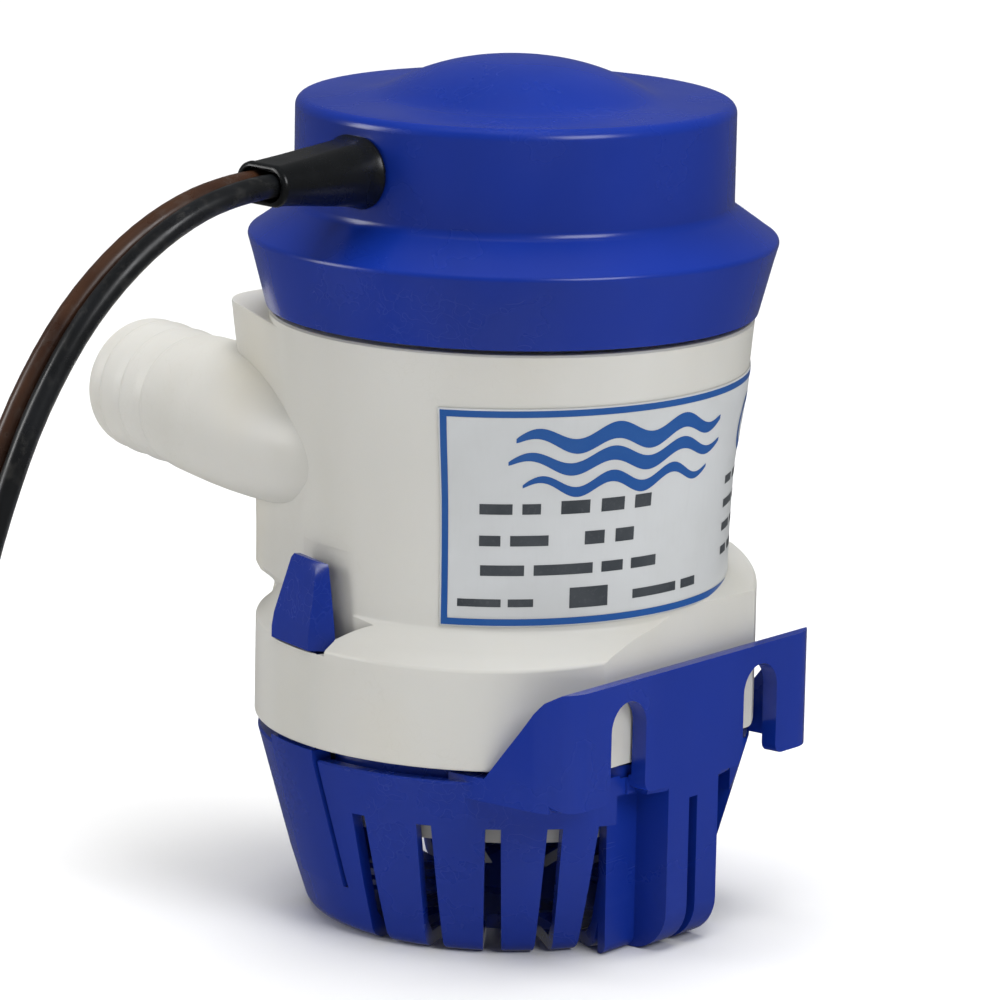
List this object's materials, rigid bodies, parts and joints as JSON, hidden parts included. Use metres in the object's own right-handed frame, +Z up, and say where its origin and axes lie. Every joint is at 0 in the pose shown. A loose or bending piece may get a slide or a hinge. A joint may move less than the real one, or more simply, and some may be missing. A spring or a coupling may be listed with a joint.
{
  "type": "bilge pump",
  "caption": "Submersible 12 volt bilge pump: white housing with side discharge barb, clip-on blue strainer base with bulkhead bracket, blue motor cap and two free leads.",
  "frame": {"origin": "on the motor axis, in the plane of the underside of the strainer base", "axes": "+Z up along the motor shaft, +X out through the flat bulkhead bracket, +Y to complete a right-handed frame"},
  "size_m": [0.1059, 0.1722, 0.1225],
  "materials": {
    "blue_plastic": "satin, fine mould texture",
    "white_plastic": "satin",
    "label_film": "printed, gloss laminate",
    "black_rubber": "gloss",
    "black_lead": "satin",
    "brown_lead": "satin",
    "steel": "plated",
    "core_steel": "laminated",
    "ferrite": "matt, sintered",
    "copper": "bare and lacquered",
    "brass": "bright",
    "carbon": "matt",
    "nylon": "matt",
    "ceramic_disc": "dipped"
  },
  "bodies": {
    "base": {"strainer_base": "blue_plastic"},
    "latch_left": {"latch_left": "blue_plastic"},
    "latch_right": {"latch_right": "blue_plastic"},
    "pump": {"pump_housing": "white_plastic", "inlet_plate": "white_plastic", "label": "label_film", "motor_cap": "blue_plastic", "cap_seal": "black_rubber", "strain_relief": "black_rubber", "motor_can": "steel", "magnet_1": "ferrite", "magnet_2": "ferrite", "magnet_clip": "steel", "end_bell": "nylon", "brush_1": "carbon", "brush_2": "carbon", "brush_spring_1": "brass", "brush_spring_2": "brass", "front_bearing": "brass", "rear_bearing": "brass", "shaft_seal": "black_rubber", "seal_retainer": "steel", "motor_screw_1": "steel", "motor_screw_2": "steel", "choke_1": "ferrite", "choke_2": "ferrite", "terminal_1": "brass", "terminal_2": "brass", "capacitor": "ceramic_disc", "lead_tail_black": "black_lead", "lead_tail_brown": "brown_lead", "lead_black": "black_lead", "lead_brown": "brown_lead", "coil_black": "black_lead", "coil_brown": "brown_lead"},
    "rotor": {"motor_shaft": "steel", "armature_core": "core_steel", "winding_1": "copper", "winding_2": "copper", "winding_3": "copper", "commutator": "copper", "impeller": "nylon", "impeller_nut": "brass", "thrust_washer_1": "nylon", "thrust_washer_2": "nylon"}
  },
  "joints": [
    {"name": "pump_lift", "type": "slide", "parent": "base", "child": "pump", "axis": [0, 0, 1], "range_m": [0, 0.15]},
    {"name": "latch_left_flex", "type": "hinge", "parent": "base", "child": "latch_left", "pos_m": [-0.00968, -0.02734, 0.0075], "axis": [-0.9426, 0.3338, 0], "range_deg": [0, 1.5], "stiffness_Nm_per_rad": 0.6},
    {"name": "latch_right_flex", "type": "hinge", "parent": "base", "child": "latch_right", "pos_m": [0.00968, 0.02734, 0.0075], "axis": [0.9426, -0.3338, 0], "range_deg": [0, 1.5], "stiffness_Nm_per_rad": 0.6},
    {"name": "rotor_spin", "type": "hinge", "parent": "pump", "child": "rotor", "pos_m": [0, 0, 0.07], "axis": [0, 0, 1], "continuous": true}
  ]
}
